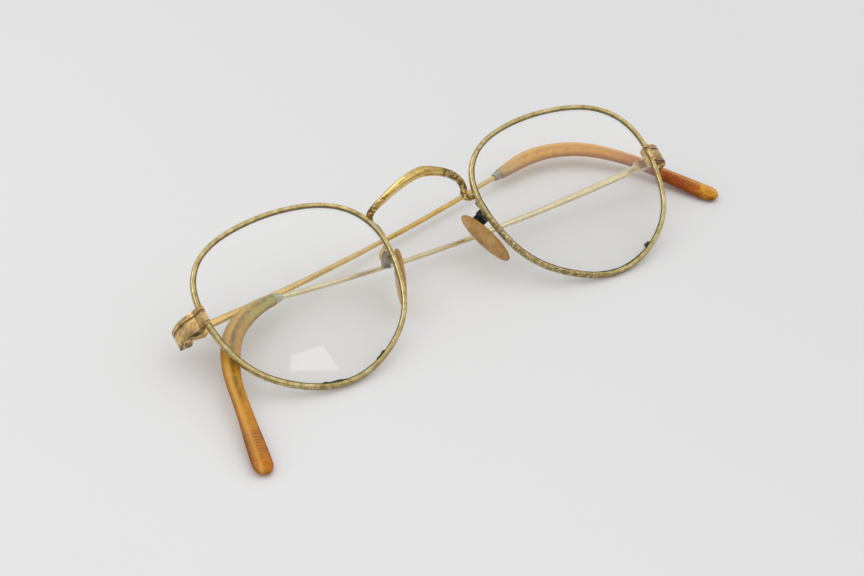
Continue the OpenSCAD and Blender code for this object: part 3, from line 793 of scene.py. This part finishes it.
def lower_mill(side):
    """Milling of a lower end piece: upright ticks between border lines, with a painted shadow along the
    lower edge and dirt at the back end and by the split.
    """
    low, high = END_LOW[side], SPLIT_Y[side] - END_GAP

    def mill(s, y):
        share = (y - low) / (high - low)
        band = step(0.2, 0.27, share) * step(0.84, 0.77, share) * step(0.4, 0.9, s) * step(8.6, 7.4, s)
        ticks = step(-0.2, 0.8, np.cos(2 * math.pi * s / END_MILL_PITCH)) * band
        lines = sum(step(0.05, 0.015, np.abs(share - at)) for at in (0.9, 0.12, 0.22))
        worn = mix(0.45, 1.0, step(0.3, 0.6, ripple(s + 3 * y, (5.1, 1.0), (2.3, 0.2))))
        depth = np.maximum(ticks * worn, lines * 0.9)
        # Painted shadow: a dark line along the block's lower edge
        low_edge_shadow = step(0.1, 0.0, share) * step(0.4, 1.2, s)
        back_end = step(13.2, 14.2, s)
        dirt = np.maximum(np.maximum(low_edge_shadow * 0.9, back_end * 0.5), step(0.95, 1.0, share))
        return depth, dirt
    return mill


def upper_mill(side):
    """Milling of an upper end piece: one line along it, with dirt above the split."""
    low, high = SPLIT_Y[side], END_TOP[side]

    def mill(s, y):
        share = (y - low) / (high - low)
        depth = step(0.12, 0.03, np.abs(share - 0.55)) * np.ones_like(s) * 0.8
        dirt = step(0.2, 0.05, share) * np.ones_like(s)
        return depth, dirt
    return mill


def upright_post(name, x, z, r, low, high):
    """A round post, to cut a hole with."""
    a = np.linspace(0, 2 * math.pi, 48, endpoint=False)
    rings = [np.stack([x + r * np.cos(a), np.full(len(a), y), z + r * np.sin(a)], -1)
             for y in (low, high)]
    return skin(name, np.stack(rings))


def lobe(side, low, high):
    """The long front knuckle, joined to the side wall, with softened edges."""
    pin = HINGE[side][[0, 2]]
    a = np.radians(np.arange(0, 360, 6))
    circle = np.stack([np.cos(a), np.sin(a)], -1)
    forward = np.where(np.sin(a)[:, None] > 0, LOBE_FORWARD, [0, 0])
    narrow = KNUCKLE_R - LOBE_BEVEL
    stations = ((low, narrow), (low + LOBE_BEVEL, KNUCKLE_R), (high - LOBE_BEVEL, KNUCKLE_R),
                (high, narrow))
    rings = []
    for y, r in stations:
        flat = pin + forward + circle * r
        rings.append(np.stack([flat[:, 0], np.full(len(a), y), flat[:, 1]], -1))
    return skin("knuckle", np.stack(rings))


def carve(piece, cutters, fills):
    """Cuts and joins by exact booleans, and leaves one plain mesh."""
    for other, how in [(c, "UNION") for c in fills] + [(c, "DIFFERENCE") for c in cutters]:
        change = piece.modifiers.new(how, "BOOLEAN")
        change.operation = how
        change.solver = "EXACT"
        change.object = other
    seen = piece.evaluated_get(bpy.context.evaluated_depsgraph_get())
    mesh = bpy.data.meshes.new_from_object(seen)
    piece.modifiers.clear()
    piece.data = mesh
    for other in [*cutters, *fills]:
        bpy.data.objects.remove(other)
    mesh.shade_smooth()
    mesh.set_sharp_from_angle(angle=math.radians(CUT_SHARP))
    return piece


def settle(piece, side):
    """Moves an upright piece's mesh to where the resting spectacles have it."""
    mesh = piece.data
    co = np.empty(len(mesh.vertices) * 3)
    mesh.vertices.foreach_get("co", co)
    placed = place(co.reshape(-1, 3) / MM, side) * MM
    mesh.vertices.foreach_set("co", placed.ravel())
    if side == "left":
        mesh.flip_normals()
    mesh.update()


def end_pieces(side):
    """The lower block with its screw recess and front knuckle, and the strip above the split."""
    low, split, top = END_LOW[side], SPLIT_Y[side], END_TOP[side]
    pin_x, pin_z = HINGE[side][[0, 2]]
    screw_x = RIM_X + SCREW_OUT
    knuckle_top = low + FRONT_KNUCKLE_H - KNUCKLE_GAP
    block = end_strap(f"{side}_end_block", side, low, split - END_GAP, lower_mill(side))
    recess = upright_post("recess", screw_x, SCREW_Z, SCREW_HEAD_R + SCREW_PLAY, low - 1, low + RECESS_H)
    room = upright_post("room", pin_x, pin_z, KNUCKLE_R + KNUCKLE_PLAY, knuckle_top, split)
    front_knuckle = lobe(side, low - LOBE_DROP, knuckle_top)
    settle(carve(block, [recess, room], [front_knuckle]), side)
    put(block, "frame", "gold_filled", BLOCK_GOLD, f"{side}_end_lower")
    strip = end_strap(f"{side}_end_strip", side, split, top, upper_mill(side))
    top_knuckle = lobe(side, split, top)
    settle(carve(strip, [], [top_knuckle]), side)
    put(strip, "frame", "gold_filled", BLOCK_GOLD, f"{side}_end_upper")


# Temples

HOOK_LEN = HOOK_R * HOOK_ANGLE
EASE_LEN = EASE_R * EASE_ANGLE


def temple_frame(t, s):
    """Points along a temple, and the ways to the inside of its hook and to its face."""
    b = np.minimum(s, t["bar"]) / t["bow"]
    e = np.maximum(s - t["bar"], 0)
    a = np.minimum(e / HOOK_R, HOOK_ANGLE)
    c = HOOK_ANGLE + np.clip((e - HOOK_LEN) / EASE_R, 0, EASE_ANGLE)
    rest = np.maximum(e - HOOK_LEN - EASE_LEN, 0)
    hook = np.where(e < HOOK_LEN, a, c)
    ahead = HOOK_R * np.sin(a) + EASE_R * (np.sin(c) - math.sin(HOOK_ANGLE)) + rest * np.cos(hook)
    down = (HOOK_R * (1 - np.cos(a)) + EASE_R * (math.cos(HOOK_ANGLE) - np.cos(c))
            + rest * np.sin(hook))
    point = np.stack([-(t["bow"] * np.sin(b) + ahead * np.cos(b)), -down,
                      t["bow"] * (1 - np.cos(b)) + ahead * np.sin(b)], -1)
    inside = np.stack([np.sin(hook) * np.cos(b), -np.cos(hook), -np.sin(hook) * np.sin(b)], -1)
    face = np.stack([np.sin(b), np.zeros_like(b), np.cos(b)], -1)
    return point, inside, face


def temple_rings(side, s, outline):
    """Rings round the temple, placed; the outline's x is to the inside of the hook, y to its face."""
    t = TEMPLES[side]
    point, inside, face = temple_frame(t, s)
    rings = point[:, None] + outline[..., :1] * inside[:, None] + outline[..., 1:] * face[:, None]
    rings = turn(rings, -math.radians(t["roll"]), "X")
    rings = turn(rings, math.radians(t["rise"]), "Z")
    rings = turn(rings, -math.radians(t["fold"]), "Y")
    return place(rings + HINGE[side], side)


def temple_bar(side):
    """The wire of a temple: flat at the hinge, round further back, and thinner inside the tip."""
    t = TEMPLES[side]
    bar_s = np.arange(BAR_FROM, t["mouth"], 0.6)
    core_s = np.linspace(t["mouth"], t["mouth"] + CORE_LEN, 60)
    s = np.concatenate([bar_s, core_s])
    f = np.clip(s / BAR_TAPER, 0, 1)[:, None]
    core = mix(1, CORE_END_SCALE, np.clip((s - t["mouth"]) / CORE_LEN, 0, 1))[:, None]
    n = 28
    outline = oval(mix(BAR_H, WIRE_D, f) * core, mix(BAR_T, WIRE_D, f) * core, n, mix(0.6, 1, f))
    a = ring_angles(n)
    ridge = sum(np.exp(-((a - at) / 0.22) ** 2) for at in (math.pi / 2, 3 * math.pi / 2))
    outline *= (1 + 0.03 * ridge * (1 - f))[..., None]
    back = -math.radians(t["roll"]) * (1 - f)
    x = outline[..., 0] * np.cos(back) - outline[..., 1] * np.sin(back)
    y = outline[..., 0] * np.sin(back) + outline[..., 1] * np.cos(back)
    rings = temple_rings(side, s, np.stack([x, y], -1))
    dirt = step(1.6, 0.1, np.abs(s - t["mouth"]))[:, None] * 0.4 * np.ones(n)
    piece = skin(f"{side}_temple_wire", rings, {"dirt": dirt})
    put(piece, f"{side}_temple", "pale_gold", WIRE_GOLD[side], f"{side}_temple_bar")


def tip(side):
    """The celluloid tip: the hole for the core, the swelling body, its grooves and its dome."""
    t = TEMPLES[side]
    n = 48
    length = t["bar"] + HOOK_LEN + EASE_LEN + t["end"]
    mouth = t["mouth"]

    # The skin starts deep in the hole, comes out at the mouth and runs on to the dome's end
    hole_s = np.linspace(mouth + CORE_LEN, mouth, 24)
    hole_d = (WIRE_D * mix(1, CORE_END_SCALE, (hole_s - mouth) / CORE_LEN) + 2 * CORE_PLAY)[:, None]
    grooved_from = length - DOME_LEN - (GROOVES + 0.5) * GROOVE_PITCH
    body_s = np.concatenate([mouth + 0.25 * (1 - np.cos(np.linspace(0, math.pi / 2, 5)[:-1])),
                             np.arange(mouth + 0.3, grooved_from, 0.5),
                             np.arange(grooved_from, length - DOME_LEN, GROOVE_PITCH / 8)])
    dome_a = np.radians(np.linspace(4, 88, 18))
    dome_s = length - DOME_LEN * (1 - np.sin(dome_a))
    out_s = np.concatenate([body_s, dome_s])
    f = (out_s - mouth) / (length - mouth)
    close = np.concatenate([np.ones_like(body_s), np.cos(dome_a)])
    swell = mix(TIP_MOUTH_W, TIP_W, np.sin(math.pi / 2 * np.clip(f / 0.2, 0, 1)))
    waist = np.sin(math.pi * np.clip((f - 0.3) / 0.65, 0, 1)) ** 2
    w = swell - (TIP_W - TIP_WAIST_W) * waist
    lip = TIP_LIP * step(0.3, 0, out_s - mouth)
    body = oval(((w - lip) * close)[:, None], ((TIP_T - lip) * close)[:, None], n, 0.92)
    a = ring_angles(n)

    # Grooves, counted from the dome; on the right tip the last ones go all the way round
    from_end = (length - DOME_LEN - out_s) / GROOVE_PITCH
    wave = step(0.45, 1.0, 0.5 - 0.5 * np.cos(2 * math.pi * from_end))
    fade = step(GROOVES + 0.3, GROOVES - 6, from_end) * step(0, 0.3, from_end)
    inward = 1 if side == "right" else -1
    half = step(-0.3, 0.1, inward * np.cos(a))
    whole = step(9, 8, from_end)[:, None] if side == "right" else 0.15
    groove = (wave * fade)[:, None] * np.maximum(half, whole)
    body = body * (1 - 2 * GROOVE_DEPTH * groove / TIP_T)[..., None]

    hole = oval(hole_d, hole_d, n)
    s = np.concatenate([hole_s, out_s])
    outline = np.concatenate([hole, body])
    rings = temple_rings(side, s, outline)

    # Marks for the celluloid: place along the tip, wire core, darker edges of painted shade and a lighter
    # band of painted glow
    share = np.concatenate([(hole_s - mouth) / (length - mouth), f])[:, None] * np.ones(n)
    reach = step(mouth + CORE_LEN + 1, mouth + CORE_LEN - 3, s)[:, None]
    across = outline[..., 0]
    core = np.exp(-(across / 0.62) ** 2) * reach
    # Painted shade at the sides and round the dome
    edge = np.abs(np.cos(a)) ** 6 * np.ones_like(share)
    rounding = np.concatenate([np.zeros(len(hole_s)), step(0.75, 0.2, close)])[:, None]
    edge = np.maximum(edge, rounding * 0.7)
    # Painted glow down one side, and in the grooves
    glow = np.exp(-((across + 0.75) / 0.42) ** 2) * step(0.02, 0.12, share)
    cut = np.concatenate([np.zeros(hole.shape[:2]), groove])
    marks = {"along": share, "core": core, "edge": edge, "glow": np.maximum(glow, cut * 0.6)}
    piece = skin(f"{side}_tip_celluloid", rings, marks)
    put(piece, f"{side}_temple", "celluloid", AMBER[side], f"{side}_tip")


# Nose pads

def at_pad(points):
    """Points drawn round a pad's middle, leaned and moved to their place."""
    return turn(points, PAD_LEAN, "Z") + PAD_AT


def nose_pad(side):
    """A smooth oval pad, boxier through its thickness than a ball."""
    n = 72
    u = np.sin(np.linspace(-math.pi / 2, math.pi / 2, 26))[1:-1, None]
    size = (1 - np.abs(u) ** PAD_BOXY) ** (1 / PAD_BOXY)
    outline = oval(PAD_LEN, PAD_W, n)
    rings = np.stack(np.broadcast_arrays(u * PAD_T / 2, size * outline[:, 0], size * outline[:, 1]), -1)
    # Painted shade mark round the pad's outer band
    edge = step(0.86, 1.0, size) * np.ones(n)
    piece = skin(f"{side}_pad_celluloid", place(at_pad(rings), side), {"edge": edge})
    put(piece, f"{side}_pad", "nose_pad", PAD_TAN, f"{side}_nose_pad")


def pad_arm(side):
    """The strap that leaves the back of the rim and turns down to the back of the pad box."""
    root = eye_point(*STRAP_ROOT)
    box_back = at_pad(np.array([BOX_BACK - 0.1, PIN_AT[1], PIN_AT[2]]))
    bend = [root, root + [0.1, 0, -1.5], box_back + [0.9, 1, 0.4], box_back]
    f = np.linspace(0, 1, 60)
    path = bezier(bend, f)
    along = unit(np.gradient(path, axis=0))
    across = unit(np.cross(along, [1, 0.3, 0]))
    out = np.cross(across, along)
    outline = oval(mix(STRAP_W, STRAP_END_W, f)[:, None], STRAP_T, 24, 0.8)
    rings = path[:, None] + outline[..., :1] * across[:, None] - outline[..., 1:] * out[:, None]
    piece = skin(f"{side}_pad_strap", place(rings, side), {"dirt": 0.25})
    put(piece, "frame", "gold_filled", STRAP[side], f"{side}_pad_arm")


def soften(name, width_mm, material):
    """Small rounded edges and a finish on a solid that keeps its shape."""
    node = nodes[name]
    weld = node.modifiers.new("weld", "WELD")
    weld.merge_threshold = 1e-6
    bevel = node.modifiers.new("edges", "BEVEL")
    bevel.width = width_mm * MM
    bevel.segments = 2
    bevel.limit_method = "ANGLE"
    bevel.angle_limit = math.radians(CUT_SHARP)
    node.data.materials.clear()
    node.data.materials.append(material)


# The making of the pieces

bridge()
for side in ("right", "left"):
    rim(side)
    lens(side)
    end_pieces(side)
    temple_bar(side)
    tip(side)
    nose_pad(side)
    pad_arm(side)
    soften(f"{side}_temple_joint", 0.1, WIRE_GOLD[side])
    soften(f"{side}_closing_screw", 0.05, STEEL)
    soften(f"{side}_hinge_pin", 0.06, STEEL)
    soften(f"{side}_pad_pin", 0.04, STEEL)
    soften(f"{side}_pad_box", 0.06, MOUNT[side])
    soften(f"{side}_pad_mount", 0.06, MOUNT[side])
    soften(f"{side}_ferrule", 0.04, FERRULE[side])
grime_bead("left")
grime_bead("right")


# Floor, light and camera

FLOOR_TONE = srgb("#e6e6e6")
# Size of the floor, and half the stretch along x over which its painted shade darkens it, in metres
FLOOR_SIZE = 6
FLOOR_SHADE_SPAN = 0.13
# How bright the surroundings are, from below to above, for plain light and for reflections
SKY_LEVELS = ((0.0, 0.5), (0.25, 0.55), (0.5, 0.72), (0.8, 1.0))
MIRRORED_LEVELS = ((0.0, 0.45), (0.3, 0.6), (0.55, 0.95), (0.72, 1.0), (0.84, 0.85), (1.0, 0.8))
# Corners of the window that is mirrored in the left lens, on the lens as it is drawn
GLARE = ((35.74, -12.28), (34.84, -12.64), (33.88, -18.39), (43.15, -15.35), (41.45, -12.41))
# How far from the lens the panel stands for that window, and how bright it is
GLARE_AWAY = 330
GLARE_STRENGTH = 3.0


def floor():
    """A sheet of pale paper, with painted shade that makes it a little darker to the right."""
    bpy.ops.mesh.primitive_plane_add(size=FLOOR_SIZE)
    plane = bpy.context.object
    plane.name = "floor"
    f = Finish("floor_paper")
    split = f.add("ShaderNodeSeparateXYZ")
    f.link(f.place, split.inputs[0])
    # Painted shade: the paper's colour darkens from left to right across the middle of the floor
    fade = f.between(split.outputs["X"], -FLOOR_SHADE_SPAN, FLOOR_SHADE_SPAN)
    tone = f.blend(fade, srgb("#efefef"), srgb("#e4e4e4"))
    f.set(Base_Color=f.blend(f.between(f.noise(60, 3), 0.3, 0.7, 0.0, 0.1), tone, FLOOR_TONE))
    f.shader.inputs["Roughness"].default_value = 0.75
    f.shader.inputs["Specular IOR Level"].default_value = 0.2
    plane.data.materials.append(f.material)


def world():
    """Soft studio surroundings, bright above and darker towards the horizon. What reflects them
    sees a slightly darker ceiling, and the camera sees the floor's tone."""
    sky = bpy.data.worlds.new("studio")
    bpy.context.scene.world = sky
    sky.use_nodes = True
    tree = sky.node_tree
    way = tree.nodes.new("ShaderNodeTexCoord")
    split = tree.nodes.new("ShaderNodeSeparateXYZ")
    tree.links.new(way.outputs["Generated"], split.inputs[0])

    def levels(*stops):
        ramp = tree.nodes.new("ShaderNodeValToRGB")
        bands = ramp.color_ramp.elements
        while len(bands) < len(stops):
            bands.new(0.5)
        for band, (at, level) in zip(bands, stops):
            band.position = at
            band.color = (level, level, level, 1)
        tree.links.new(split.outputs["Z"], ramp.inputs["Fac"])
        return ramp.outputs["Color"]

    rays = tree.nodes.new("ShaderNodeLightPath")
    shown = tree.nodes.new("ShaderNodeMix")
    shown.data_type = "RGBA"
    tree.links.new(rays.outputs["Is Glossy Ray"], shown.inputs["Factor"])
    tree.links.new(levels(*SKY_LEVELS), shown.inputs[COLOUR_A])
    tree.links.new(levels(*MIRRORED_LEVELS), shown.inputs[COLOUR_B])
    seen = tree.nodes.new("ShaderNodeBackground")
    seen.inputs["Color"].default_value = FLOOR_TONE
    lit = tree.nodes["Background"]
    tree.links.new(shown.outputs[COLOUR_OUT], lit.inputs["Color"])
    both = tree.nodes.new("ShaderNodeMixShader")
    tree.links.new(rays.outputs["Is Camera Ray"], both.inputs[0])
    tree.links.new(lit.outputs[0], both.inputs[1])
    tree.links.new(seen.outputs[0], both.inputs[2])
    tree.links.new(both.outputs[0], tree.nodes["World Output"].inputs["Surface"])


def glare_panel():
    """A bright panel, seen only as a reflection, placed where the left lens mirrors it."""
    ball_z = LENS_T / 2 - math.sqrt(LENS_CURVE_R ** 2 - EYE_R ** 2)
    ball = np.array([LENS_X, 0, ball_z])
    flat = np.array([[x, y, 0] for x, y in GLARE])
    rise = np.sqrt(LENS_CURVE_R ** 2 - ((flat - ball)[:, :2] ** 2).sum(1))
    spots = place(np.stack([flat[:, 0], flat[:, 1], ball_z + rise], -1), "left")
    normals = unit(spots - place(ball, "left"))
    ray = unit(spots - CAMERA_AT)
    back = ray - 2 * (ray * normals).sum(1, keepdims=True) * normals
    panel = make_mesh("glare_panel", spots + back * GLARE_AWAY, [tuple(range(len(GLARE)))])
    reflected_only(panel, GLARE_STRENGTH)


def reflector(at, width, depth, strength):
    """A bright sheet above the table, facing the spectacles and seen only in shiny surfaces."""
    centre = np.array(at)
    across = unit(np.cross(centre, [0, 0, 1.0])) * width / 2
    over = unit(np.cross(across, centre)) * depth / 2
    corners = [centre - across - over, centre + across - over, centre + across + over,
               centre - across + over]
    reflected_only(make_mesh("reflector", corners, [(0, 1, 2, 3)]), strength)


def reflected_only(panel, strength):
    """Makes a panel glow in reflections, and hides it from everything else."""
    f = Finish("panel_light")
    f.shader.inputs["Base Color"].default_value = (0, 0, 0, 1)
    f.shader.inputs["Emission Color"].default_value = (1, 1, 1, 1)
    f.shader.inputs["Emission Strength"].default_value = strength
    panel.data.materials.append(f.material)
    panel.visible_camera = False
    panel.visible_diffuse = False
    panel.visible_shadow = False
    panel.visible_transmission = False


def softbox(name, at, towards, size, power):
    """A rectangular lamp that isn't mirrored. Sizes are in metres."""
    light = bpy.data.lights.new(name, "AREA")
    light.shape = "RECTANGLE"
    light.size, light.size_y = size
    light.energy = power
    lamp = bpy.data.objects.new(name, light)
    bpy.context.scene.collection.objects.link(lamp)
    lamp.location = at
    lamp.rotation_mode = "QUATERNION"
    lamp.rotation_quaternion = (Vector(towards) - Vector(at)).to_track_quat("-Z", "Y")
    lamp.visible_glossy = False


def camera():
    """The photograph's view."""
    az, el = CAMERA_AZIMUTH, CAMERA_ELEVATION
    forward = Vector((-math.sin(az) * math.cos(el), math.cos(az) * math.cos(el), -math.sin(el)))
    level = forward.cross(Vector((0, 0, 1))).normalized()
    over = level.cross(forward)
    right = level * math.cos(CAMERA_ROLL) + over * math.sin(CAMERA_ROLL)
    up = over * math.cos(CAMERA_ROLL) - level * math.sin(CAMERA_ROLL)
    data = bpy.data.cameras.new("camera")
    data.lens = FOCAL_LENGTH
    data.sensor_width = SENSOR_WIDTH
    data.clip_start = 0.01
    view = bpy.data.objects.new("camera", data)
    bpy.context.scene.collection.objects.link(view)
    turned = Matrix((right, up, -forward)).transposed().to_4x4()
    view.matrix_world = Matrix.Translation(CAMERA_AT * MM) @ turned
    bpy.context.scene.camera = view


floor()
world()
glare_panel()
reflector(at=(-420, 330, 640), width=700, depth=160, strength=5.0)
softbox("key", at=(0.42, -0.18, 0.9), towards=(0, 0, 0), size=(1.4, 1.4), power=1.5)
camera()
bpy.context.scene.view_settings.view_transform = "Standard"
